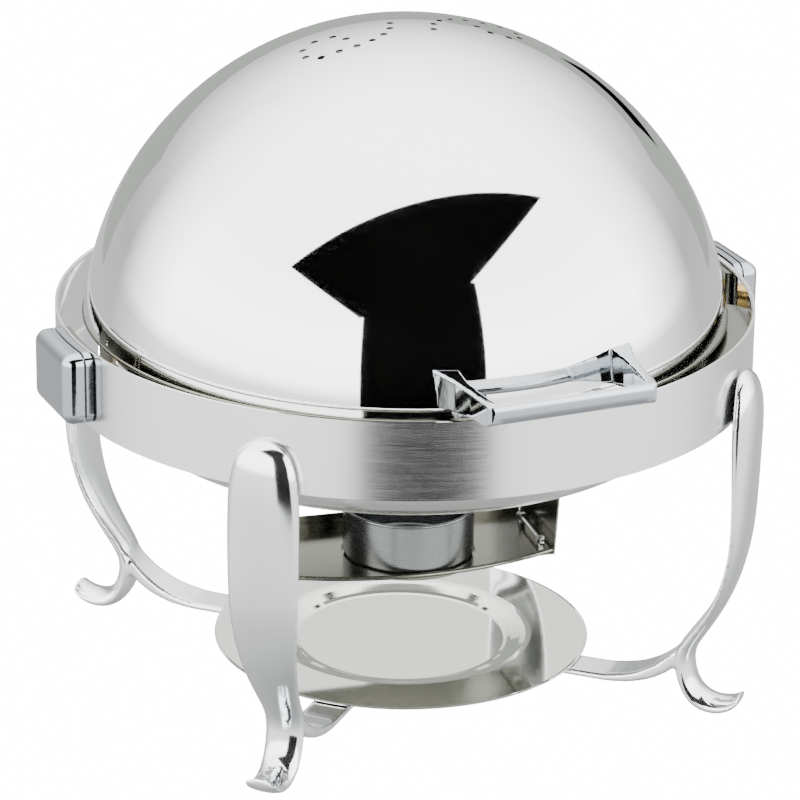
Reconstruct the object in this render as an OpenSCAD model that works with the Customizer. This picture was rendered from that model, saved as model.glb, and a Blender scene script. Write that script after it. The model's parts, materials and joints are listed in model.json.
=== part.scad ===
// Round roll-top chafing dish: frame band on four cast legs, drip plate,
// water pan with fuel shelf, food pan, and a spherical cover that rolls
// back on two side pivots. Millimetres, +Z up, floor at z = 0, handle at -Y.

/* [Frame] */
// Outer diameter of the frame band
band_d = 475; // [440:1:520]
// Height of the frame band
band_h = 53.5; // [40:0.5:70]
// Height of the band's top edge above the floor
band_top = 268; // [240:1:320]
// Sheet thickness of the band
band_t = 1.6; // [1:0.1:3]

/* [Cover] */
// Outer radius of the spherical cover
dome_r = 219.5; // [200:0.5:221]
// Sheet thickness of the cover
dome_t = 1; // [0.6:0.1:2]
// Height of the pivots above the floor
pivot_z = 240; // [236:0.5:244]
// Height of the cover's lower edge above the pivots
rim_up = 22; // [21:0.5:26]
// Diameter of each vent hole
vent_d = 5; // [3:0.5:7]
// Vent holes in each of the two hooks
vent_n = 12; // [8:1:12]

/* [Handle] */
// Width of the handle bar
grip_w = 117; // [90:1:140]
// Reach of the handle from the pivot axis
grip_reach = 264; // [250:1:275]
// Height of the handle bar
grip_h = 15; // [10:0.5:20]

/* [Pans] */
// Inside radius of the water pan
pan_r = 195; // [180:1:196]
// Bottom of the water pan above the floor
pan_floor = 178; // [165:1:200]
// Depth of the food pan
food_deep = 62; // [40:1:66]

/* [Burner] */
// Outer radius of the fuel cup
cup_r = 45.5; // [35:0.5:50]
// Height of the fuel cup
cup_h = 38; // [25:1:60]
// Height of the fuel shelf above the floor
shelf_z = 81; // [70:1:95]
// Reach of the fuel shelf in front of its centre line
shelf_front = 53; // [52:0.5:58]
// Reach of the fuel shelf behind its centre line
shelf_back = 45.5; // [45:0.5:52]

/* [Drip plate] */
// Outer radius of the drip plate
plate_r = 130.5; // [110:0.5:140]

/* [Hidden] */
$fn = 96;
br = band_d / 2;
bi = br - band_t;
zb = band_top - band_h;
rim_z = pivot_z + rim_up;
arm_x = 215.7;          // outer face of each hinge arm
arm_t = 2.6;
shaft_r = 5;
hx = 96.5;              // half length of the fuel shelf

// the pivots stand 14 mm behind the middle of the footprint, which the handle lengthens
module at() translate([0, 14, 0]) children();

// ---------------------------------------------------------------- helpers
module tube(ro, ri, h) { difference() { cylinder(r = ro, h = h);
    translate([0, 0, -1]) cylinder(r = ri, h = h + 2); } }
// rounded rectangle, exact arcs
module rrect(a, b, r) {
  square([a - 2 * r, b], center = true);
  square([a, b - 2 * r], center = true);
  for (i = [-1, 1], j = [-1, 1]) translate([i * (a / 2 - r), j * (b / 2 - r)]) circle(r = r);
}
// pan-head machine screw, head up at z = 0, shank down
module screw(d, len, hd, hh) {
  difference() {
    intersection() {
      cylinder(d = hd, h = hh);
      translate([0, 0, hh - hd * 0.75]) sphere(d = hd * 1.5);
    }
    for (a = [0, 90]) rotate([0, 0, a]) translate([-hd * 0.32, -hd * 0.07, hh * 0.45])
      cube([hd * 0.64, hd * 0.14, hh]);
  }
  translate([0, 0, -len]) cylinder(d = d, h = len + 0.2);
}
// place children on the band at azimuth a (0 = front, positive = right), axis outward = +Z
module radial(a, r, z) { rotate([0, 0, a]) translate([0, -r, z]) rotate([90, 0, 0]) children(); }
// one cross-section of a casting: rounded outside, nearly flat inside
function dsec(s, n) = [for (k = [0 : n - 1]) let (a = 360 * k / n, c = cos(a), t = sin(a),
    u = c >= 0 ? 0.34 + 0.66 * c : 0.34 - 0.34 * pow(-c, 0.5),
    v = s[4] / 2 * sign(t) * pow(abs(t), 0.85))
    [s[2] + (s[0] - s[2]) * u, v, s[3] + (s[1] - s[3]) * u]];
// smooth curve through the stations
function cr(p0, p1, p2, p3, t) = 0.5 * ((2 * p1) + (p2 - p0) * t
    + (2 * p0 - 5 * p1 + 4 * p2 - p3) * t * t + (3 * p1 - p0 - 3 * p2 + p3) * t * t * t);
function dense(st, m) = let (L = len(st)) concat([for (i = [0 : L - 2], j = [0 : m - 1])
    cr(st[max(i - 1, 0)], st[i], st[i + 1], st[min(i + 2, L - 1)], j / m)], [st[L - 1]]);
module sweep(st, n, m) {
  d = dense(st, m); L = len(d);
  pts = [for (s = d) each dsec(s, n)];
  side = [for (i = [0 : L - 2], k = [0 : n - 1]) let (a = i * n + k, b = i * n + (k + 1) % n)
    each [[a, b, a + n], [b, b + n, a + n]]];
  polyhedron(points = pts, faces = concat([[for (k = [n - 1 : -1 : 0]) k]], side,
    [[for (k = [0 : n - 1]) (L - 1) * n + k]]), convexity = 6);
}
module mir(s) { if (s < 0) mirror([1, 0, 0]) children(); else children(); }

// ---------------------------------------------------------------- frame
module ring_band() at() color([0.80, 0.80, 0.79]) difference() {
  rotate_extrude($fn = 180) {
    translate([bi, zb]) square([band_t, band_h]);
    translate([bi - 2.4, zb]) square([2.6, 1.4]);
    translate([br - 1.3, band_top - 1.3]) circle(r = 1.3, $fn = 32);
  }
  for (s = [-1, 1]) translate([s * (br - 4), 0, pivot_z]) rotate([0, 90, 0])
    cylinder(r = shaft_r + 0.1, h = 12, center = true);
  for (s = [-1, 1], y = [-22, 22]) translate([s * (br - 4), y, pivot_z + 4]) rotate([0, 90, 0])
    cylinder(d = 4.2, h = 16, center = true);
  for (a = [45, 135, -45, -135]) radial(a, br - 6, 221) cylinder(d = 5.2, h = 12);
}

// inner support ring joined to a ledge that reaches the band at the front only
module pan_frame() at() color([0.74, 0.74, 0.70]) difference() {
  union() {
    translate([0, 0, 253]) tube(206, pan_r + 3, 1.5);
    translate([0, 0, 246]) tube(206, 204.6, 7.5);
    rotate([0, 0, -160]) rotate_extrude(angle = 140, $fn = 180) {
      translate([205.8, 253]) square([bi - 206, 1.5]);
      translate([bi - 1.7, 243.5]) square([1.5, 11]);
    }
    for (a = [-70, 70]) rotate([0, 0, a]) translate([0, -220.8, 253])
      cylinder(r = 13.5, h = 1.5);
  }
  for (a = [15 : 60 : 345]) rotate([0, 0, a]) translate([0, -201.5, 250]) cylinder(d = 3.2, h = 8);
}

// stations: outer r, outer z, inner r, inner z, width
LEG = [[243, 250, 240.6, 250, 7], [247.6, 246.6, 238.9, 247.4, 21.5], [251, 240, 238.2, 242, 34],
  [253.3, 231, 238, 233.5, 42], [254.3, 220, 238, 222, 47], [254.2, 206, 238.3, 207, 49.4],
  [253.4, 185, 239.4, 186, 50.4], [252.3, 160, 240.7, 161, 50.2], [250.4, 133, 240.8, 135, 49],
  [246.6, 111, 238.4, 114.5, 45.8], [241, 91, 233.2, 95.2, 41.2], [233, 73, 225.2, 77.6, 35.8],
  [223.8, 57, 214.2, 61, 31], [217, 45.5, 205.4, 47.6, 28.4], [215.2, 37.6, 202.8, 36, 27.4],
  [215.6, 30.4, 204.2, 24.6, 27], [217.8, 22.8, 208.4, 13.6, 26.6],
  [221.8, 16.4, 215, 4.6, 26.4], [227.6, 12.6, 222.6, 0.7, 26], [234.2, 11.4, 230.4, -0.7, 25.6],
  [240.8, 12.2, 238, 0.7, 25.2], [246.4, 14.2, 244.6, 4.4, 24.2], [249.6, 17.4, 249, 9.4, 22]];
// brace under the drip plate: upper line out and lower line back
BRACE = [[92, 17.9], [146, 18.1], [160, 19.4], [174, 22.8], [187, 29.2], [197.6, 37.2],
  [207, 48], [214, 58.5], [219, 55], [212, 42], [206, 33.4], [199, 26.8], [190, 21.2],
  [175, 16], [160, 13.9], [146, 13.4], [92, 13.4]];
module brace() intersection() {
  rotate([90, 0, 0]) linear_extrude(height = 40, center = true) polygon(BRACE);
  linear_extrude(height = 80) polygon([[90, -14], [165, -14], [185, -12.6], [204, -10.8],
    [230, -10.4], [230, 10.4], [204, 10.8], [185, 12.6], [165, 14], [90, 14]]);
}
module leg(a) color([0.82, 0.84, 0.86]) difference() {
  rotate([0, 0, a - 90]) union() { sweep(LEG, 20, 2); brace(); }
  translate([0, 0, -5]) cube([600, 600, 10], center = true);
  radial(a, br - 1, 221) cylinder(d = 5.2, h = 11);
}
module leg_front_left() at() leg(-45);
module leg_front_right() at() leg(45);
module leg_back_left() at() leg(-135);
module leg_back_right() at() leg(135);
module leg_screws() at() color([0.70, 0.70, 0.70])
  for (a = [45, 135, -45, -135]) radial(a, bi - 0.05, 221) rotate([180, 0, 0])
    screw(5, 11, 9.5, 3);

module drip_plate() at() color([0.80, 0.80, 0.77]) rotate_extrude($fn = 180)
  polygon([[0, 13.6], [72, 13.6], [74.5, 14], [77.5, 15.2], [84.5, 17.4], [88, 18.2], [91.5, 18.5],
    [plate_r - 1, 18.5], [plate_r, 18.9], [plate_r, 19.5], [plate_r - 0.6, 19.8],
    [plate_r - 2, 19.6], [91.2, 19.6], [87.3, 19.2], [83.6, 18.4], [77, 16.3], [74.2, 15.1],
    [71.8, 14.7], [0, 14.7]]);

// ---------------------------------------------------------------- pans
module bowl(r, z0, z1, f, t) difference() {
  union() { translate([0, 0, z0 + f]) cylinder(r = r + t, h = z1 - z0 - f, $fn = 180);
    translate([0, 0, z0]) cylinder(r = r + t - f, h = f + 1, $fn = 180);
    translate([0, 0, z0 + f]) rotate_extrude($fn = 180) translate([r + t - f, 0])
      intersection() { circle(r = f); translate([0, -f]) square([f, f + 0.5]); } }
  translate([0, 0, z0 + f]) cylinder(r = r, h = z1 - z0, $fn = 180);
  translate([0, 0, z0 + t]) cylinder(r = r - f + t, h = f, $fn = 180);
  translate([0, 0, z0 + f]) rotate_extrude($fn = 180) translate([r + t - f, 0])
    intersection() { circle(r = f - t); translate([0, -f]) square([f, f + 0.5]); }
}
module water_pan() at() color([0.76, 0.76, 0.75]) difference() {
  union() { bowl(pan_r, pan_floor, 255.7, 30, 1.2);
    translate([0, 0, 254.5]) tube(205.5, pan_r + 0.4, 1.2); }
  for (a = [15 : 60 : 345]) rotate([0, 0, a]) translate([0, -201.5, 250]) cylinder(d = 3.2, h = 8);
  at_shelf() for (s = [-1, 1], y = [-24, 36]) translate([s * (hx + 15), y, pan_floor - 2])
    cylinder(d = 4.2, h = 6);
}
module water_pan_screws() at() color([0.70, 0.70, 0.70])
  for (a = [15 : 60 : 345]) rotate([0, 0, a]) translate([0, -201.5, 253]) rotate([180, 0, 0])
    screw(3, 2.6, 5.4, 1.8);
module food_pan() at() color([0.82, 0.82, 0.80]) union() {
  bowl(190, 256.6 - food_deep + 1.2, 257.6, 22, 1.2);
  translate([0, 0, 256.4]) tube(203.4, 190.5, 1.2);
  rotate_extrude($fn = 180) translate([203.4, 257]) circle(r = 1.3, $fn = 32);
}

// ---------------------------------------------------------------- cover
function hook(i) = i < 5 ? [-43 + 33 * cos(-14 - 20 * i), 19 + 33 * sin(-14 - 20 * i)]
  : [-61.5 + 15 * cos(-74 - 47.7 * (i - 5)), 2 + 15 * sin(-74 - 47.7 * (i - 5))];
module dome_shell() at() color([0.86, 0.86, 0.85]) translate([0, 0, pivot_z]) difference() {
  sphere(r = dome_r, $fn = 180);
  sphere(r = dome_r - dome_t, $fn = 180);
  translate([0, 0, rim_up - 400]) cube([800, 800, 800], center = true);
  for (s = [-1, 1], i = [0 : vent_n - 1]) let (p = s * hook(i))
    translate([p[0], p[1] - 5, 190]) cylinder(d = vent_d, h = 40, $fn = 24);
  for (a = [-16.5, 16.5]) grip_at(a) cylinder(d = 4.2, h = 30, center = true);
  for (s = [-1, 1], y = [-8, 8]) translate([s * 216, y, 26]) rotate([0, 90, 0])
    cylinder(d = 3.2, h = 12, center = true);
}
// local frame on the cover surface, +Z outward, at azimuth a
module grip_at(a) rotate([0, 0, a]) rotate([79, 0, 0]) translate([0, 0, dome_r]) children();
module dome_hem() at() color([0.74, 0.74, 0.72]) translate([0, 0, pivot_z]) difference() {
  rotate_extrude($fn = 180) {
    polygon([[216.15, 20.3], [217.35, 20.3], [217.36, 22], [217.1, 24.4], [216.75, 27.4],
      [216.42, 29.8], [215.95, 29.8], [216.1, 25]]);
    translate([217.75, 20.4]) circle(r = 1.55, $fn = 32);
  }
  for (s = [-1, 1], y = [-8, 8]) translate([s * 216, y, 26]) rotate([0, 90, 0])
    cylinder(d = 3.2, h = 12, center = true);
}

// handle: bar with a bevelled top edge and two arms that flare onto the cover
GB = [[0, 0], [2.6, -2.2], [5.4, -2.8], [7.6, -1.6], [8.6, 1.5], [8.2, 4.5], [5.4, 4.2],
  [3.2, 11.3], [1.6, 12.2], [-0.6, 11.4], [-1.4, 8], [-1.2, 3]];
module grip_prof() translate([-grip_reach, 277.6 - pivot_z]) scale(grip_h / 15) polygon(GB);
module handle() at() color([0.82, 0.84, 0.86]) translate([0, 0, pivot_z]) difference() {
  union() {
    rotate([90, 0, 90]) translate([0, 0, -grip_w / 2 + 3]) linear_extrude(height = grip_w - 6)
      grip_prof();
    for (s = [-1, 1]) mir(s) intersection() {
      rotate([90, 0, 90]) translate([0, 0, 40]) linear_extrude(height = 40)
        polygon([[-grip_reach - 1, 37.9], [-grip_reach + 3, 35], [-grip_reach + 9, 34.4],
          [-238, 33.6], [-222, 31.6], [-205, 29.5], [-196, 29], [-196, 54.5], [-204, 53.9], [-222, 52],
          [-240, 50.9], [-grip_reach + 3, 49.8], [-grip_reach - 0.6, 49]]);
      translate([0, 0, 20]) linear_extrude(height = 50)
        polygon([[grip_w / 2 - 8, -grip_reach - 2], [grip_w / 2 - 2, -grip_reach - 1.6],
          [grip_w / 2, -grip_reach + 1.5], [60.4, -240], [63, -222], [68.4, -205], [72, -196],
          [48, -196], [53.5, -207], [55, -222], [54.2, -240], [52.4, -254]]);
    }
  }
  sphere(r = dome_r + 0.02, $fn = 180);
  for (a = [-16.5, 16.5]) grip_at(a) cylinder(d = 4.2, h = 16, center = true);
}
module handle_screws() at() color([0.70, 0.70, 0.70]) translate([0, 0, pivot_z])
  for (a = [-16.5, 16.5]) grip_at(a) translate([0, 0, -dome_t - 0.05]) rotate([180, 0, 0])
    screw(4, 8, 8, 2.6);

// ---------------------------------------------------------------- hinge
module hinge_arm() color([0.72, 0.72, 0.70]) translate([0, 0, pivot_z])
  rotate([90, 0, 90]) translate([0, 0, arm_x - arm_t]) difference() {
    linear_extrude(height = arm_t) union() {
      circle(r = 13);
      polygon([[-13, 0], [13, 0], [13, 25], [9.5, 30], [-9.5, 30], [-13, 25]]);
    }
    translate([0, 0, -1]) cylinder(r = shaft_r + 0.05, h = arm_t + 2);
    for (y = [-8, 8]) translate([y, 26, -1]) cylinder(d = 3.2, h = arm_t + 2);
  }
module hinge_arm_left() at() mir(-1) hinge_arm();
module hinge_arm_right() at() hinge_arm();
module hinge_rivets() at() color([0.70, 0.70, 0.70]) for (s = [-1, 1], y = [-8, 8]) mir(s)
  translate([0, y, pivot_z + 26]) rotate([0, 90, 0]) {
    translate([0, 0, arm_x - arm_t - 1.4]) cylinder(d = 6, h = 1.4);
    translate([0, 0, arm_x - arm_t - 0.5]) cylinder(d = 3.1, h = 5.1);
  }

// rounded chrome block outside the band; its back follows the band, and a groove sets off
// its mounting flange
module pivot_cap() color([0.80, 0.83, 0.86]) difference() {
  translate([br + 7, 0, 244]) intersection() {
    rotate([90, 0, 90]) linear_extrude(height = 44, center = true) rrect(66, 49.5, 8);
    linear_extrude(height = 60, center = true) translate([-9, 0]) rrect(41, 66, 6);
    rotate([90, 0, 0]) linear_extrude(height = 80, center = true) translate([-9, 0])
      rrect(41, 49.5, 6);
  }
  translate([0, 0, 200]) cylinder(r = br + 1.2, h = 90, $fn = 180);
  difference() {
    translate([0, 0, 200]) tube(br + 7.2, br + 6.2, 90);
    translate([br, 0, 244]) cube([60, 60, 43.5], center = true);
  }
  translate([br - 10, 0, pivot_z]) rotate([0, 90, 0]) cylinder(r = shaft_r + 0.02, h = 22);
  for (y = [-22, 22]) translate([br - 10, y, pivot_z + 4]) rotate([0, 90, 0])
    cylinder(d = 4.2, h = 19);
}
module pivot_cap_left() at() mir(-1) pivot_cap();
module pivot_cap_right() at() pivot_cap();
module pivot_plate() color([0.74, 0.74, 0.72]) difference() {
  union() {
    rotate([0, 0, -7.6]) translate([0, 0, zb + 1.8]) rotate_extrude(angle = 15.2, $fn = 180)
      translate([bi - 4.8, 0]) square([4.7, band_h - 4.6]);
    for (a = [-7.6, 7.6]) rotate([0, 0, a]) translate([bi - 2.45, 0, zb + 1.8])
      cylinder(r = 2.35, h = band_h - 4.6, $fn = 40);
  }
  translate([bi - 10, 0, pivot_z]) rotate([0, 90, 0]) cylinder(r = shaft_r + 0.1, h = 20);
  for (y = [-22, 22]) translate([bi - 10, y, pivot_z + 4]) rotate([0, 90, 0])
    cylinder(d = 4.2, h = 20);
}
module pivot_plate_left() at() mir(-1) pivot_plate();
module pivot_plate_right() at() pivot_plate();
module pivot_shaft() color([0.66, 0.66, 0.66]) translate([209.5, 0, pivot_z]) rotate([0, 90, 0])
  cylinder(r = shaft_r, h = 37);
module pivot_shaft_left() at() mir(-1) pivot_shaft();
module pivot_shaft_right() at() pivot_shaft();
module pivot_spacer() color([0.72, 0.60, 0.36]) translate([arm_x + 0.05, 0, pivot_z])
  rotate([0, 90, 0]) difference() { cylinder(r = 9, h = bi - 5.15 - arm_x);
    translate([0, 0, -1]) cylinder(r = shaft_r + 0.02, h = 30); }
module pivot_spacer_left() at() mir(-1) pivot_spacer();
module pivot_spacer_right() at() pivot_spacer();
module pivot_nut() color([0.66, 0.66, 0.66]) translate([arm_x - arm_t - 4.1, 0, pivot_z])
  rotate([0, 90, 0]) difference() {
    union() { cylinder(r = 7.6, h = 3.2, $fn = 6); cylinder(r = 8, h = 0.6);
      translate([0, 0, 3.2]) cylinder(r = 9, h = 0.85); }
    translate([0, 0, -1]) cylinder(r = shaft_r + 0.02, h = 8);
  }
module pivot_nut_left() at() mir(-1) pivot_nut();
module pivot_nut_right() at() pivot_nut();
module cap_screws() at() color([0.70, 0.70, 0.70]) for (s = [-1, 1], y = [-22, 22]) mir(s)
  translate([bi - 6.35, y, pivot_z + 4]) rotate([0, -90, 0]) screw(4, 16.5, 8, 2.6);

// ---------------------------------------------------------------- burner
// the shelf hangs a little turned under the pan
module at_shelf() rotate([0, 0, -7.5]) translate([3.5, 0, 0]) children();
// shelf: bowed front edge with a rolled lip, straight back with a stepped lip, pressed seat
module burner_tray() at() color([0.74, 0.74, 0.70]) at_shelf() difference() {
  union() {
    translate([0, 0, shelf_z]) linear_extrude(height = 1.2) intersection() {
      translate([-hx + 0.7, -60]) square([2 * hx - 1.4, 60 + shelf_back]);
      translate([0, 240 - shelf_front]) circle(r = 238.4, $fn = 180);
    }
    intersection() {
      translate([0, 240 - shelf_front, shelf_z + 1.6]) rotate_extrude($fn = 180)
        translate([238.4, 0]) circle(r = 1.6, $fn = 32);
      translate([-hx + 0.7, -60, shelf_z - 1]) cube([2 * hx - 1.4, 60, 20]);
    }
    translate([-hx + 0.7, shelf_back - 1.2, shelf_z]) cube([2 * hx - 1.4, 1.2, 6]);
    translate([-hx + 0.7, shelf_back - 1.2, shelf_z + 4.9]) cube([2 * hx - 1.4, 4, 1.2]);
    translate([-hx + 0.7, shelf_back + 1.6, shelf_z + 4.9]) cube([2 * hx - 1.4, 1.2, 6.4]);
    translate([0, -3.4, shelf_z - 2.6]) cylinder(r = cup_r + 2.1, h = 3);
  }
  translate([0, -3.4, shelf_z - 1.4]) cylinder(r = cup_r + 1.1, h = 5);
  for (s = [-1, 1], y = [-22, 21]) translate([s * (hx - 6.5), y, shelf_z - 1]) cylinder(d = 3.2, h = 5);
}
// end wall of the shelf: foot under the shelf, leaning wall, top flange on the pan
module tray_hanger() color([0.70, 0.70, 0.66]) difference() {
  rotate([90, 0, 0]) translate([0, 0, -shelf_back]) linear_extrude(height = shelf_back + 33)
    polygon([[hx - 12, shelf_z - 1.3], [hx + 0.9, shelf_z - 1.3], [hx + 1.2, shelf_z - 0.9],
      [hx + 7.2, pan_floor - 1.4], [hx + 24, pan_floor - 1.4], [hx + 24, pan_floor - 0.1],
      [hx + 6, pan_floor - 0.1], [hx - 0.1, shelf_z - 0.1], [hx - 12, shelf_z - 0.1]]);
  for (y = [-22, 21]) translate([hx - 6.5, y, shelf_z - 3]) cylinder(d = 3.2, h = 6);
  for (y = [-24, 36]) translate([hx + 15, y, pan_floor - 4]) cylinder(d = 4.2, h = 6);
}
module tray_hanger_left() at() at_shelf() mir(-1) tray_hanger();
module tray_hanger_right() at() at_shelf() tray_hanger();
module tray_rod() color([0.78, 0.78, 0.78]) translate([hx - 6.5, -0.5, shelf_z + 6]) union() {
  rotate([90, 0, 0]) cylinder(d = 2.4, h = 52, center = true);
  for (y = [-26.5, 26.5]) translate([0, y, 0]) sphere(d = 4.2);
}
module tray_rod_left() at() at_shelf() mir(-1) tray_rod();
module tray_rod_right() at() at_shelf() tray_rod();
// eyes that hold each rod: nuts, stem and eye in one casting
module tray_nuts() at() color([0.66, 0.66, 0.66]) at_shelf() for (s = [-1, 1], y = [-22, 21])
  translate([s * (hx - 6.5), y, 0]) difference() {
    union() {
      translate([0, 0, shelf_z - 3.9]) cylinder(d = 3, h = 8.4, $fn = 24);
      translate([0, 0, shelf_z + 1.25]) cylinder(d = 6.4, h = 1.6, $fn = 6);
      translate([0, 0, shelf_z - 3.2]) cylinder(d = 6.4, h = 1.85, $fn = 6);
      translate([-2.6, -1.7, shelf_z + 4.2]) cube([5.2, 3.4, 4.6]);
    }
    translate([0, 0, shelf_z + 6]) rotate([90, 0, 0]) cylinder(d = 2.44, h = 8, center = true, $fn = 24);
  }
module hanger_rivets() at() color([0.70, 0.70, 0.70]) at_shelf() for (s = [-1, 1], y = [-24, 36])
  translate([s * (hx + 15), y, 0]) {
    translate([0, 0, pan_floor - 2.9]) cylinder(d = 8, h = 1.45);
    translate([0, 0, pan_floor - 2]) cylinder(d = 4.1, h = 4);
    translate([0, 0, pan_floor + 1.25]) cylinder(d = 8, h = 1.45);
  }
module burner_cup() at() color([0.70, 0.70, 0.70]) at_shelf() translate([0, -3.4, shelf_z - 1.3])
  difference() {
    union() {
      bowl(cup_r - 1, 0, cup_h, 5, 1);
      translate([0, 0, cup_h - 1.1]) rotate_extrude() translate([cup_r - 0.4, 0])
        circle(r = 1.1, $fn = 32);
    }
    translate([0, 0, 6]) cylinder(r = cup_r - 1, h = cup_h);
  }

ring_band();
pan_frame();
leg_front_left();
leg_front_right();
leg_back_left();
leg_back_right();
leg_screws();
drip_plate();
water_pan();
water_pan_screws();
food_pan();
dome_shell();
dome_hem();
handle();
handle_screws();
hinge_arm_left();
hinge_arm_right();
hinge_rivets();
pivot_cap_left();
pivot_cap_right();
pivot_plate_left();
pivot_plate_right();
pivot_shaft_left();
pivot_shaft_right();
pivot_spacer_left();
pivot_spacer_right();
pivot_nut_left();
pivot_nut_right();
cap_screws();
burner_tray();
tray_hanger_left();
tray_hanger_right();
tray_rod_left();
tray_rod_right();
tray_nuts();
hanger_rivets();
burner_cup();
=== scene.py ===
import json
import math

import bpy
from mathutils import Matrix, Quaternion, Vector


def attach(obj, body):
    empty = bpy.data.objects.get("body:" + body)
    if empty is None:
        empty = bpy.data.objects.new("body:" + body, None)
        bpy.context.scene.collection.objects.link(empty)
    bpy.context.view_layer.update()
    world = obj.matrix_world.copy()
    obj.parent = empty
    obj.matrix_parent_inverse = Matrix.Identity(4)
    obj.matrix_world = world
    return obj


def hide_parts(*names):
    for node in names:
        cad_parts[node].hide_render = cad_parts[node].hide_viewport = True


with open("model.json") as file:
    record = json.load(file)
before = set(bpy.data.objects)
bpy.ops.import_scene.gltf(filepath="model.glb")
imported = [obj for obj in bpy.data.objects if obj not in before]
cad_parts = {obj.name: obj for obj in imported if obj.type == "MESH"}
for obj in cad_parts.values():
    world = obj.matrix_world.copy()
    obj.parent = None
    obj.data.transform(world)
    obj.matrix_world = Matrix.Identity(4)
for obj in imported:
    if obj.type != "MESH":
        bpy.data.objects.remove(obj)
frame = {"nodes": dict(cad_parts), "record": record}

bl_info = {
    "name": "Round roll-top chafing dish",
    "version": (1, 0, 0),
    "blender": (4, 5, 0),
    "location": "View3D > Sidebar > Chafing Dish",
    "description": "Builds the polished castings, finishes and studio of a roll-top chafing dish",
    "category": "Object",
}

NODES = frame["nodes"]
AX = 0.014  # the upright axis of band, pans and cover stands this far behind the origin
BAND_R = 0.2375  # outer radius of the band
BAND_INSIDE = 0.2367  # everything on the band nearer the axis than this is mirror-polished
BAND_LEAN = 0.11  # tangent of the angle by which the band's shading leans from its mesh
BLOCK_X, BLOCK_Z = 0.236, 0.244  # centre of the cube that a pivot block is cut from
BLOCK_SIZE = (0.040, 0.066, 0.0495)
GROOVE = (0.2449, 0.2434)  # outer and inner radius of the groove in a pivot block
GROOVE_CORE = (0.060, 0.061, 0.0445)  # what the groove leaves standing inside the block
GROOVE_CORE_X = 0.240
CUTTER_TALL = 0.12
FULL_SHARE = 0.34  # part of a leg's depth that lies inside its widest line
AZ = {"front_left": -45.0, "front_right": 45.0, "back_left": -135.0, "back_right": 135.0}

# One leg in millimetres, seen from the side: outer radius and height, inner radius and
# height, width. From the round head on the band down to the tip of the foot.
LEG = (
    (243, 250, 240.6, 250, 9), (247.6, 246.6, 238.9, 247.4, 23), (251, 240, 238.2, 242, 36),
    (253.3, 231, 238, 233.5, 43.5), (254.3, 220, 238, 222, 48.2),
    (254.2, 206, 238.3, 207, 50.4), (253.4, 185, 239.4, 186, 51.2),
    (252.3, 160, 240.7, 161, 50.8), (250.4, 133, 240.8, 135, 49.4),
    (246.6, 111, 238.4, 114.5, 46.2), (241, 91, 233.2, 95.2, 41.6),
    (233, 73, 225.2, 77.6, 36.2), (223.8, 57, 214.2, 61, 31.4), (217, 45.5, 205.4, 47.6, 28.8),
    (215.2, 37.6, 202.8, 36, 27.8), (215.6, 30.4, 204.2, 24.6, 27.4),
    (217.8, 22.8, 208.4, 13.9, 27), (221.8, 16.6, 215, 5.2, 26.8),
    (227.6, 12.8, 222.6, 1.3, 26.4), (234.2, 11.6, 230.4, 0.1, 26),
    (240.8, 12.4, 238, 1.3, 25.6), (246.6, 14.4, 244.8, 4.7, 24.6), (250, 17.5, 249.4, 9.5, 23),
)
# The brace that leaves the leg for the drip plate: upper line, lower line, width.
BRACE = (
    (215, 60, 216.5, 48, 20.8), (211, 54.5, 209.5, 37.6, 20.8), (205, 45.6, 203.2, 30.2, 21.2),
    (197.6, 37.2, 196, 24.6, 22.8), (187, 29.2, 187.4, 20, 24.8), (174, 22.8, 175, 16, 26.6),
    (160, 19.4, 160, 13.9, 28), (146, 18.1, 146, 13.4, 28), (92, 17.9, 92, 13.4, 28),
)


class DishLooks(bpy.types.PropertyGroup):
    """Sizes and colours of the pieces and finishes that this add-on makes."""

    block_edge: bpy.props.FloatProperty(
        name="Pivot block edge", description="Radius of the rounded edges of the pivot blocks",
        default=0.0085, min=0.002, max=0.012, unit="LENGTH")
    block_gap: bpy.props.FloatProperty(
        name="Pivot block gap", description="Shadow gap between a pivot block and the band",
        default=0.0012, min=0.0, max=0.004, unit="LENGTH")
    handle_edge: bpy.props.FloatProperty(
        name="Handle edge", description="Rounding of the handle's cast edges",
        default=0.0007, min=0.0004, max=0.002, unit="LENGTH")
    leg_cell: bpy.props.FloatProperty(
        name="Leg blend", description="Cell size at which leg, foot and brace are blended",
        default=0.0011, min=0.0008, max=0.003, unit="LENGTH")
    cover_tint: bpy.props.FloatVectorProperty(
        name="Cover tint", description="Colour of the mirror-polished cover", subtype="COLOR",
        default=(0.86, 0.86, 0.855), min=0.0, max=1.0)
    chrome_tint: bpy.props.FloatVectorProperty(
        name="Chrome tint", description="Colour of the chrome-plated castings", subtype="COLOR",
        default=(0.58, 0.62, 0.66), min=0.0, max=1.0)
    steel_tint: bpy.props.FloatVectorProperty(
        name="Steel tint", description="Colour of the brushed stainless steel", subtype="COLOR",
        default=(0.80, 0.80, 0.79), min=0.0, max=1.0)
    sheet_tint: bpy.props.FloatVectorProperty(
        name="Sheet tint", description="Colour of the polished shelf and drip plate",
        subtype="COLOR", default=(0.71, 0.72, 0.665), min=0.0, max=1.0)


# ------------------------------------------------------------------ small helpers
def select_only(obj):
    bpy.ops.object.select_all(action="DESELECT")
    obj.select_set(True)
    bpy.context.view_layer.objects.active = obj


def hexed(code):
    """sRGB hex colour as linear RGBA."""
    rgb = [int(code[i:i + 2], 16) / 255 for i in (0, 2, 4)]
    return tuple(c / 12.92 if c <= 0.04045 else ((c + 0.055) / 1.055) ** 2.4 for c in rgb) + (1.0,)


def edit():
    bpy.ops.object.mode_set(mode="EDIT")
    bpy.ops.mesh.select_mode(type="FACE")


def done():
    bpy.ops.object.mode_set(mode="OBJECT")


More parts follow.
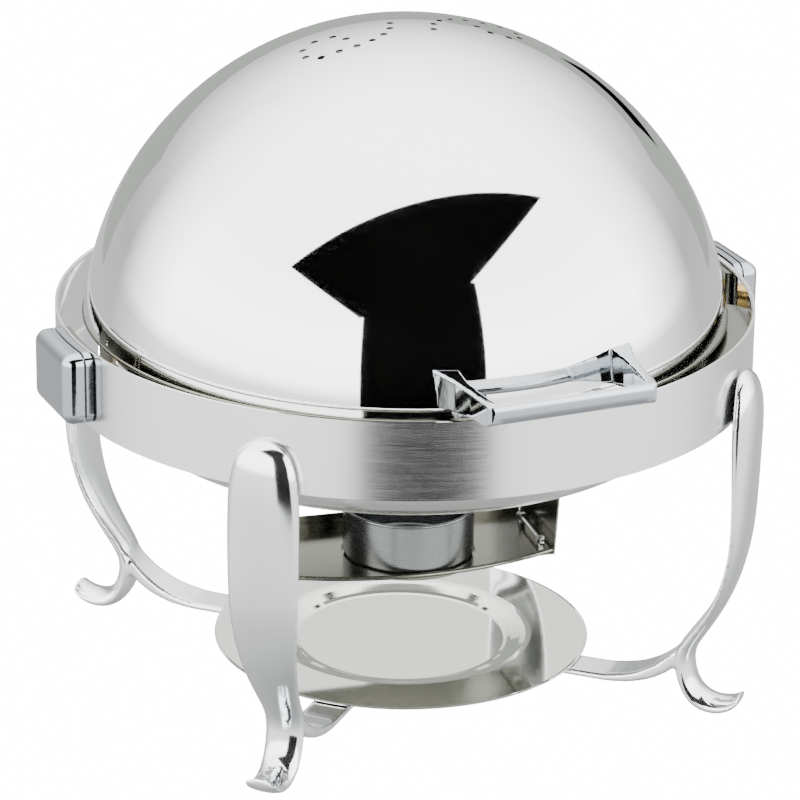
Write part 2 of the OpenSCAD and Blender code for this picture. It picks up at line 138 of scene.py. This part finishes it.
def modifier(obj, kind, apply=True, **settings):
    select_only(obj)
    bpy.ops.object.modifier_add(type=kind)
    mod = obj.modifiers[-1]
    for key, value in settings.items():
        setattr(mod, key, value)
    if apply:
        bpy.ops.object.modifier_apply(modifier=mod.name)
    return mod


def settle(obj, name, body):
    """Names a finished piece, puts its place into its mesh and gives it its body."""
    select_only(obj)
    bpy.ops.object.transform_apply(location=True, rotation=True, scale=True)
    obj.name = name
    obj.data.name = name
    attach(obj, body)
    return obj


# ------------------------------------------------------------------ materials
def add(tree, kind, links=None, **settings):
    """Adds a shader node; links maps an input to a socket or to a value."""
    node = tree.nodes.new(kind)
    for key, value in settings.items():
        setattr(node, key, value)
    for key, value in (links or {}).items():
        if isinstance(value, bpy.types.NodeSocket):
            tree.links.new(value, node.inputs[key])
        else:
            node.inputs[key].default_value = value
    return node


def around(tree, along_mm, across_mm, up_mm):
    """Object coordinates unrolled about the dish's upright axis, scaled in millimetres."""
    place = add(tree, "ShaderNodeTexCoord").outputs["Object"]
    moved = add(tree, "ShaderNodeVectorMath", {0: place, 1: (0, -AX, 0)}, operation="ADD")
    part = add(tree, "ShaderNodeSeparateXYZ", {0: moved.outputs[0]})
    x, y, z = part.outputs[0], part.outputs[1], part.outputs[2]
    turn = add(tree, "ShaderNodeMath", {0: y, 1: x}, operation="ARCTAN2").outputs[0]
    flat = add(tree, "ShaderNodeCombineXYZ", {0: x, 1: y}).outputs[0]
    far = add(tree, "ShaderNodeVectorMath", {0: flat}, operation="LENGTH").outputs["Value"]
    run = add(tree, "ShaderNodeMath", {0: turn, 1: 0.2 * 1000 / along_mm}, operation="MULTIPLY")
    out = add(tree, "ShaderNodeMath", {0: far, 1: 1000 / across_mm}, operation="MULTIPLY")
    up = add(tree, "ShaderNodeMath", {0: z, 1: 1000 / up_mm}, operation="MULTIPLY")
    joined = add(tree, "ShaderNodeCombineXYZ",
                 {0: run.outputs[0], 1: out.outputs[0], 2: up.outputs[0]})
    return joined.outputs[0], far


def straight(tree, x_mm, y_mm, z_mm):
    """Object coordinates scaled in millimetres, for sheet and cast surfaces."""
    place = add(tree, "ShaderNodeTexCoord").outputs["Object"]
    scale = (1000 / x_mm, 1000 / y_mm, 1000 / z_mm)
    return add(tree, "ShaderNodeMapping", {"Vector": place, "Scale": scale}).outputs[0]


def metal(name, tint, rough, vary, line_strength, coords, wave=0.0, wave_mm=60.0, aniso=0.0,
          detail=3.0):
    """Polished or brushed metal: fine lines or grain in roughness and bump, slow waviness."""
    mat = bpy.data.materials.new(name)
    mat.use_nodes = True
    tree = mat.node_tree
    shader = tree.nodes["Principled BSDF"]
    shader.inputs["Metallic"].default_value = 1.0
    where = coords(tree)
    where = where[0] if isinstance(where, tuple) else where
    lines = add(tree, "ShaderNodeTexNoise", {"Vector": where, "Scale": 1.0, "Detail": detail})
    slow = add(tree, "ShaderNodeTexNoise",
               {"Vector": straight(tree, wave_mm, wave_mm, wave_mm), "Scale": 1.0, "Detail": 2.0})
    dark = tuple(c * 0.975 for c in tint) + (1.0,)
    pale = tuple(min(1.0, c * 1.02) for c in tint) + (1.0,)
    mottled = add(tree, "ShaderNodeMixRGB",
                  {"Fac": slow.outputs["Fac"], "Color1": dark, "Color2": pale})
    tree.links.new(mottled.outputs[0], shader.inputs["Base Color"])
    span = add(tree, "ShaderNodeMapRange", {"Value": lines.outputs["Fac"], "From Min": 0.3,
                                            "From Max": 0.7, "To Min": max(0.0, rough - vary),
                                            "To Max": rough + vary})
    tree.links.new(span.outputs[0], shader.inputs["Roughness"])
    fine = add(tree, "ShaderNodeBump", {"Height": lines.outputs["Fac"],
                                        "Strength": line_strength, "Distance": 0.00005})
    wide = add(tree, "ShaderNodeBump", {"Height": slow.outputs["Fac"], "Strength": wave,
                                        "Distance": 0.001, "Normal": fine.outputs[0]})
    tree.links.new(wide.outputs[0], shader.inputs["Normal"])
    if aniso:
        shader.inputs["Anisotropic"].default_value = aniso
        tangent = add(tree, "ShaderNodeTangent", direction_type="RADIAL", axis="Z")
        tree.links.new(tangent.outputs[0], shader.inputs["Tangent"])
    return mat


def paint(obj, mat):
    obj.data.materials.clear()
    obj.data.materials.append(mat)


def band_material(looks):
    """Brushed around outside, where the eye sees long level lines and a soft, stretched
    reflection; mirror-polished inside, where the cover's foot doubles itself."""
    mat = metal("band_brushed", looks.steel_tint, 0.2, 0.05, 0.16,
                lambda t: around(t, 38.0, 1.0, 0.22), wave=0.02, wave_mm=70, aniso=0.6)
    tree = mat.node_tree
    shader = tree.nodes["Principled BSDF"]
    # the shading leans back a few degrees, so the brushed face carries what stands just above
    # the level of the eye's reflection; the mesh itself stays a straight cylinder
    plain = shader.inputs["Normal"].links[0].from_socket
    leant = add(tree, "ShaderNodeVectorMath", {0: plain, 1: (0, 0, BAND_LEAN)}, operation="ADD")
    unit = add(tree, "ShaderNodeVectorMath", {0: leant.outputs[0]}, operation="NORMALIZE")
    tree.links.new(unit.outputs[0], shader.inputs["Normal"])
    _, far = around(tree, 1, 1, 1)
    outside = add(tree, "ShaderNodeMath", {0: far, 1: BAND_INSIDE},
                  operation="GREATER_THAN").outputs[0]
    held = shader.inputs["Roughness"].links[0].from_socket
    mixed = add(tree, "ShaderNodeMix", {"Factor": outside, "A": 0.035, "B": held})
    tree.links.new(mixed.outputs["Result"], shader.inputs["Roughness"])
    stretched = add(tree, "ShaderNodeMath", {0: outside, 1: 0.55}, operation="MULTIPLY")
    tree.links.new(stretched.outputs[0], shader.inputs["Anisotropic"])
    return mat


# ------------------------------------------------------------------ castings
def ring_frame(station, share):
    """Centre, tilt, depth and width of one cross-section; share is where its centre sits."""
    ox, oz, ix, iz, wide = (v / 1000 for v in station)
    dx, dz = ox - ix, oz - iz
    return (ix + share * dx, iz + share * dz), math.atan2(dz, dx), math.hypot(dx, dz), wide


def between(rows, m):
    """Smooth in-between cross-sections, m to each step."""
    out = []
    for i in range(len(rows) - 1):
        a, b = rows[max(i - 1, 0)], rows[i]
        c, d = rows[i + 1], rows[min(i + 2, len(rows) - 1)]
        for j in range(m):
            t = j / m
            out.append(tuple(0.5 * (2 * q + (r - p) * t + (2 * p - 5 * q + 4 * r - s) * t * t
                                    + (3 * q - p - 3 * r + s) * t ** 3)
                             for p, q, r, s in zip(a, b, c, d)))
    out.append(rows[-1])
    return out


def draw_out(rows, share):
    """Extrudes the active, unit-sized flat outline through the cross-sections in edit mode."""
    here, tilt, deep, wide = ring_frame(rows[0], share)
    bpy.ops.transform.resize(value=(deep, wide, 1), center_override=(0, 0, 0))
    bpy.ops.transform.rotate(value=tilt, orient_axis="Y", center_override=(0, 0, 0))
    bpy.ops.transform.translate(value=(here[0], 0, here[1]))
    for row in rows[1:]:
        there, tilt2, deep2, wide2 = ring_frame(row, share)
        old = (here[0], 0, here[1])
        bpy.ops.mesh.extrude_region_move()
        bpy.ops.transform.rotate(value=-tilt, orient_axis="Y", center_override=old)
        bpy.ops.transform.resize(value=(deep2 / deep, wide2 / wide, 1), center_override=old)
        bpy.ops.transform.rotate(value=tilt2, orient_axis="Y", center_override=old)
        bpy.ops.transform.translate(value=(there[0] - here[0], 0, there[1] - here[1]))
        here, tilt, deep, wide = there, tilt2, deep2, wide2
    bpy.ops.mesh.select_all(action="SELECT")
    bpy.ops.mesh.normals_make_consistent(inside=False)


def make_leg(looks):
    """One leg with its foot and brace, along +X with the dish's axis at the origin."""
    bpy.ops.object.select_all(action="DESELECT")
    bpy.ops.mesh.primitive_circle_add(vertices=24, radius=1, fill_type="NGON", location=(0, 0, 0))
    leg = bpy.context.object
    # a D: full and round outside, shallow inside
    edit()
    bpy.ops.mesh.select_all(action="SELECT")
    bpy.ops.transform.resize(value=(1 - FULL_SHARE, 0.5, 1), center_override=(0, 0, 0))
    done()
    for face in leg.data.polygons:
        face.select = False
    for line in leg.data.edges:
        line.select = False
    for point in leg.data.vertices:
        point.select = point.co.x < -0.001
    bpy.ops.object.mode_set(mode="EDIT")
    bpy.ops.mesh.select_mode(type="VERT")
    bpy.ops.transform.resize(value=(FULL_SHARE / (1 - FULL_SHARE), 1, 1),
                             center_override=(0, 0, 0))
    bpy.ops.mesh.select_mode(type="FACE")
    bpy.ops.mesh.select_all(action="SELECT")
    draw_out(between(LEG, 2), FULL_SHARE)
    done()
    modifier(leg, "SUBSURF", levels=2)

    bpy.ops.object.select_all(action="DESELECT")
    bpy.ops.mesh.primitive_plane_add(size=1, location=(0, 0, 0))
    brace = bpy.context.object
    edit()
    bpy.ops.mesh.select_all(action="SELECT")
    draw_out(between(BRACE, 3), 0.5)
    done()
    modifier(brace, "BEVEL", width=0.0011, segments=2, limit_method="ANGLE",
             angle_limit=math.radians(50))
    select_only(leg)
    brace.select_set(True)
    bpy.ops.object.join()
    modifier(leg, "REMESH", mode="VOXEL", voxel_size=looks.leg_cell, adaptivity=0.0)
    modifier(leg, "SMOOTH", factor=0.5, iterations=14)
    select_only(leg)
    bpy.ops.object.shade_smooth()
    return leg


class CHAFER_OT_legs(bpy.types.Operator):
    """Model the cast leg with its foot and brace and set one at each corner"""

    bl_idname = "chafer.legs"
    bl_label = "Cast legs"

    def execute(self, context):
        looks = context.scene.dish_looks
        chrome = chrome_material(looks)
        first = make_leg(looks)
        for corner, azimuth in AZ.items():
            select_only(first)
            bpy.ops.object.duplicate(linked=False)
            leg = context.object
            leg.rotation_euler = (0, 0, math.radians(azimuth - 90))
            leg.location = (0, AX, 0)
            settle(leg, "cast_leg_" + corner, "frame")
            paint(leg, chrome)
            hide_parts("leg_" + corner)
        select_only(first)
        bpy.ops.object.delete()
        return {"FINISHED"}


def chrome_material(looks, name="cast_chrome", share=1.0):
    """Bright chrome on a casting: the reflection stays sharp but wanders a little, as the
    casting under it was polished by hand. share scales the tint into a darker copy of the same
    chrome for the small castings: painted shade standing in for the darker reflections they show."""
    if name in bpy.data.materials:
        return bpy.data.materials[name]
    return metal(name, tuple(c * share for c in looks.chrome_tint), 0.075, 0.02, 0.05,
                 lambda t: straight(t, 0.9, 0.9, 0.9), wave=0.06, wave_mm=26)


def tube(outer, inner, tall, place):
    """A plain ring, standing upright."""
    rings = []
    for radius, grow in ((outer, 1.0), (inner, 1.2)):
        bpy.ops.object.select_all(action="DESELECT")
        bpy.ops.mesh.primitive_cylinder_add(vertices=256, radius=radius, depth=tall * grow,
                                            location=place)
        rings.append(bpy.context.object)
    modifier(rings[0], "BOOLEAN", operation="DIFFERENCE", object=rings[1], solver="EXACT")
    select_only(rings[1])
    bpy.ops.object.delete()
    return rings[0]


class CHAFER_OT_blocks(bpy.types.Operator):
    """Model the two rounded pivot blocks outside the band"""

    bl_idname = "chafer.blocks"
    bl_label = "Pivot blocks"

    def execute(self, context):
        looks = context.scene.dish_looks
        # painted shade: the blocks take a darker copy of the chrome, 0.68 of its tint, standing in
        # for the darker reflections they show
        chrome = chrome_material(looks, "block_chrome_painted_shade", 0.68)
        for side, sign in (("left", -1), ("right", 1)):
            bpy.ops.object.select_all(action="DESELECT")
            bpy.ops.mesh.primitive_cube_add(size=1, scale=BLOCK_SIZE,
                                            location=(sign * BLOCK_X, AX, BLOCK_Z))
            block = context.object
            bpy.ops.object.transform_apply(location=True, rotation=True, scale=True)
            modifier(block, "BEVEL", width=looks.block_edge, segments=8, limit_method="NONE")
            bpy.ops.object.select_all(action="DESELECT")
            bpy.ops.mesh.primitive_cylinder_add(vertices=256, radius=BAND_R + looks.block_gap,
                                                depth=CUTTER_TALL,
                                                location=(0, AX, BLOCK_Z))
            cutter = context.object
            modifier(block, "BOOLEAN", operation="DIFFERENCE", object=cutter, solver="EXACT")
            select_only(cutter)
            bpy.ops.object.delete()
            # groove that sets the flange off from the block
            groove = tube(*GROOVE, CUTTER_TALL, (0, AX, BLOCK_Z))
            bpy.ops.object.select_all(action="DESELECT")
            bpy.ops.mesh.primitive_cube_add(size=1, scale=GROOVE_CORE,
                                            location=(sign * GROOVE_CORE_X, AX, BLOCK_Z))
            core = context.object
            modifier(groove, "BOOLEAN", operation="DIFFERENCE", object=core, solver="EXACT")
            modifier(block, "BOOLEAN", operation="DIFFERENCE", object=groove, solver="EXACT")
            select_only(core)
            groove.select_set(True)
            bpy.ops.object.delete()
            select_only(block)
            bpy.ops.object.shade_smooth_by_angle(angle=math.radians(40))
            modifier(block, "WEIGHTED_NORMAL", keep_sharp=True, weight=80)
            settle(block, "pivot_block_" + side, "frame")
            paint(block, chrome)
            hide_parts("pivot_cap_" + side)
        return {"FINISHED"}


class CHAFER_OT_handle(bpy.types.Operator):
    """Round the edges of the cast handle"""

    bl_idname = "chafer.handle"
    bl_label = "Cast handle"

    def execute(self, context):
        looks = context.scene.dish_looks
        grip = NODES["handle"]
        # painted shade: the handle takes a darker copy of the chrome, 0.8 of its tint, standing in
        # for the darker reflections it shows
        paint(grip, chrome_material(looks, "grip_chrome_painted_shade", 0.8))
        modifier(grip, "WELD", apply=False, merge_threshold=0.00002)
        modifier(grip, "REMESH", apply=False, mode="VOXEL", voxel_size=looks.handle_edge,
                 use_smooth_shade=True)
        modifier(grip, "SMOOTH", apply=False, factor=0.5, iterations=8)
        return {"FINISHED"}


class CHAFER_OT_finishes(bpy.types.Operator):
    """Give every carried-over piece its finish"""

    bl_idname = "chafer.finishes"
    bl_label = "Finishes"

    def execute(self, context):
        looks = context.scene.dish_looks
        # mirror-polished dome: clean reflections with the faint wander of spun sheet
        cover = metal("cover_mirror", looks.cover_tint, 0.035, 0.008, 0.02,
                      lambda t: around(t, 30.0, 0.6, 0.6), wave=0.015, wave_mm=90)
        band = band_material(looks)
        # spun and polished plate: warm, a touch softer than the cover
        plate = metal("plate_polished", looks.sheet_tint, 0.06, 0.015, 0.04,
                      lambda t: around(t, 30.0, 0.5, 0.5), wave=0.02, wave_mm=60)
        # shelf and ledge: rolled sheet with a soft polish; its tint is set far darker than the
        # plate's, painted shade for the shade it sits in under the water pan
        sheet = metal("sheet_polished", hexed("7C7C72")[:3], 0.2, 0.04, 0.04,
                      lambda t: straight(t, 30.0, 0.4, 30.0), wave=0.03, wave_mm=50)
        # cup: brushed on a lathe, so its highlights blur upwards
        cup = metal("cup_brushed", hexed("868989")[:3], 0.26, 0.04, 0.08,
                    lambda t: straight(t, 22.0, 22.0, 0.3), wave=0.02, wave_mm=30, aniso=0.5)
        # pans: satin food steel
        pan = metal("pan_satin", looks.steel_tint, 0.24, 0.04, 0.1,
                    lambda t: around(t, 25.0, 0.5, 0.5), wave=0.02, wave_mm=70)
        brass = metal("spacer_brass", hexed("B49A5E")[:3], 0.25, 0.05, 0.2,
                      lambda t: straight(t, 0.4, 8.0, 8.0), wave=0.02, wave_mm=20)
        steel = metal("fastener_steel", hexed("BDBDBC")[:3], 0.16, 0.04, 0.1,
                      lambda t: straight(t, 1.2, 1.2, 1.2), wave=0.03, wave_mm=8)
        by_slot = {"cover_mirror": cover, "band_satin": band, "plate_mirror": plate,
                   "sheet_polished": sheet, "cup_brushed": cup, "pan_satin": pan,
                   "spacer_brass": brass, "fastener_steel": steel}
        for part in frame["record"]["subparts"]:
            if part["material_slot"] in by_slot:
                paint(NODES[part["node"]], by_slot[part["material_slot"]])
        return {"FINISHED"}


# ------------------------------------------------------------------ studio
def glow(name, code, strength):
    mat = bpy.data.materials.new(name)
    mat.use_nodes = True
    tree = mat.node_tree
    tree.nodes.clear()
    light = add(tree, "ShaderNodeEmission", {"Color": hexed(code), "Strength": strength})
    out = add(tree, "ShaderNodeOutputMaterial")
    tree.links.new(light.outputs[0], out.inputs["Surface"])
    return mat


def card(name, size, place, aim, mat, cuts=(), eye_only=False):
    """A flat card of the studio facing the point it's aimed at. Each cut is a point on the
    card and the direction in which the card is cut away."""
    bpy.ops.object.select_all(action="DESELECT")
    bpy.ops.mesh.primitive_plane_add(size=1, location=(0, 0, 0))
    obj = bpy.context.object
    edit()
    bpy.ops.mesh.select_all(action="SELECT")
    bpy.ops.transform.resize(value=(size[0], size[1], 1), center_override=(0, 0, 0))
    for x, y, away_x, away_y in cuts:
        bpy.ops.mesh.select_all(action="SELECT")
        bpy.ops.mesh.bisect(plane_co=(x, y, 0), plane_no=(away_x, away_y, 0), clear_outer=True)
    done()
    obj.rotation_euler = (Vector(aim) - Vector(place)).to_track_quat("Z", "Y").to_euler()
    obj.location = place
    bpy.ops.object.transform_apply(location=True, rotation=True, scale=True)
    obj.name = name
    paint(obj, mat)
    obj.visible_camera = eye_only
    obj.visible_glossy = not eye_only
    obj.visible_diffuse = not eye_only
    obj.visible_shadow = False
    return obj


# Share of the tent's brightness from straight down (0) over level (0.5) to straight up (1),
# in front of the dish and behind it.
FRONT = ((0.0, 0.07), (0.20, 0.16), (0.32, 0.28), (0.46, 0.32), (0.50, 0.76), (0.60, 0.88),
         (0.80, 0.72), (1.0, 0.76))
REAR = ((0.0, 0.07), (0.20, 0.10), (0.33, 0.13), (0.46, 0.12), (0.52, 0.11), (0.62, 0.16),
        (0.70, 0.26), (1.0, 0.76))


def tent():
    """White tent open to the room behind the dish: brightest in front and overhead, dim
    towards the rear, and a dimmer white table below."""
    world = bpy.data.worlds.new("tent")
    bpy.context.scene.world = world
    world.use_nodes = True
    tree = world.node_tree
    back = tree.nodes["Background"]
    toward = add(tree, "ShaderNodeTexCoord").outputs["Generated"]
    height = add(tree, "ShaderNodeSeparateXYZ", {0: toward}).outputs[2]
    share = add(tree, "ShaderNodeMapRange", {"Value": height, "From Min": -1.0})
    ahead = add(tree, "ShaderNodeVectorMath", {0: toward, 1: (0.404, 0.915, 0.0)},
                operation="DOT_PRODUCT")
    rear = add(tree, "ShaderNodeMapRange",
               {"Value": ahead.outputs["Value"], "From Min": 0.05, "From Max": 0.6})
    levels = []
    for stops in (FRONT, REAR):
        ramp = add(tree, "ShaderNodeValToRGB", {"Fac": share.outputs[0]})
        bar = ramp.color_ramp
        while len(bar.elements) < len(stops):
            bar.elements.new(0.5)
        for stop, (spot, level) in zip(bar.elements, stops):
            stop.position = spot
            stop.color = (level, level, level, 1)
        levels.append(ramp.outputs["Color"])
    both = add(tree, "ShaderNodeMixRGB",
               {"Fac": rear.outputs[0], "Color1": levels[0], "Color2": levels[1]})
    tree.links.new(both.outputs[0], back.inputs["Color"])
    back.inputs["Strength"].default_value = 7.0


class CHAFER_OT_studio(bpy.types.Operator):
    """Set up the white tent, its cards, the floor and the camera"""

    bl_idname = "chafer.studio"
    bl_label = "Studio"

    def execute(self, context):
        tent()
        black = glow("card_black", "000000", 0.0)
        grey = glow("card_grey", "D2D8D2", 0.9)
        white = glow("sweep_white", "FFFFFF", 16.0)
        heart = (0, AX, 0.24)
        card("floor", (30, 30), (0, 0, -0.001), (0, 0, 5), white, eye_only=True)
        card("backdrop", (30, 30), (4.0, 9.0, 0), (0, 0, 0), white, eye_only=True)
        # dark gap in the tent around the lens
        card("lens_gap", (1.5, 2.5), (-0.599, -1.886, 0.414), heart, black,
             cuts=((0, -1.0, 0, -1),))
        # dark fly of the tent above the lens, a wide wing
        card("lens_fly", (4.6, 2.2), (-0.232, -1.304, 1.726), heart, black,
             cuts=((2.11, 0.30, 0.14, 1), (1.10, -0.74, 1.04, -1.01),
                   (-1.45, 0.65, -1.27, -1.03), (0, -0.74, 0, -1)))
        # shaded wall behind the dish, and the dark slit in it
        card("rear_wall", (5.0, 1.3), (1.2, 2.8, 0.35), heart, grey)
        card("rear_slit", (0.5, 0.2), (1.5, 1.5, 0.46), heart, black)
        bpy.ops.object.select_all(action="DESELECT")
        bpy.ops.object.camera_add(location=(-1.0892, -2.4557, 1.2304))
        eye = context.object
        ahead = Vector((0.377, 0.854, -0.359)).to_track_quat("-Z", "Y")
        eye.rotation_mode = "QUATERNION"
        eye.rotation_quaternion = ahead @ Quaternion((0, 0, 1), math.radians(0.77))
        eye.data.lens = 189.7
        eye.data.sensor_width = 36
        eye.data.shift_x = -0.0067
        eye.data.shift_y = -0.0009
        eye.data.clip_end = 50
        context.scene.camera = eye
        return {"FINISHED"}


class CHAFER_PT_panel(bpy.types.Panel):
    bl_label = "Chafing Dish"
    bl_idname = "CHAFER_PT_panel"
    bl_space_type = "VIEW_3D"
    bl_region_type = "UI"
    bl_category = "Chafing Dish"

    def draw(self, context):
        looks = context.scene.dish_looks
        for name in DishLooks.__annotations__:
            self.layout.prop(looks, name)
        for kind in STEPS:
            self.layout.operator(kind.bl_idname)


STEPS = (CHAFER_OT_finishes, CHAFER_OT_legs, CHAFER_OT_blocks, CHAFER_OT_handle, CHAFER_OT_studio)
CLASSES = (DishLooks,) + STEPS + (CHAFER_PT_panel,)


def register():
    for kind in CLASSES:
        bpy.utils.register_class(kind)
    bpy.types.Scene.dish_looks = bpy.props.PointerProperty(type=DishLooks)


def unregister():
    del bpy.types.Scene.dish_looks
    for kind in reversed(CLASSES):
        bpy.utils.unregister_class(kind)


def main():
    register()
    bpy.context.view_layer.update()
    bpy.ops.chafer.finishes()
    bpy.ops.chafer.legs()
    bpy.ops.chafer.blocks()
    bpy.ops.chafer.handle()
    bpy.ops.chafer.studio()


if __name__ == "__main__":
    main()
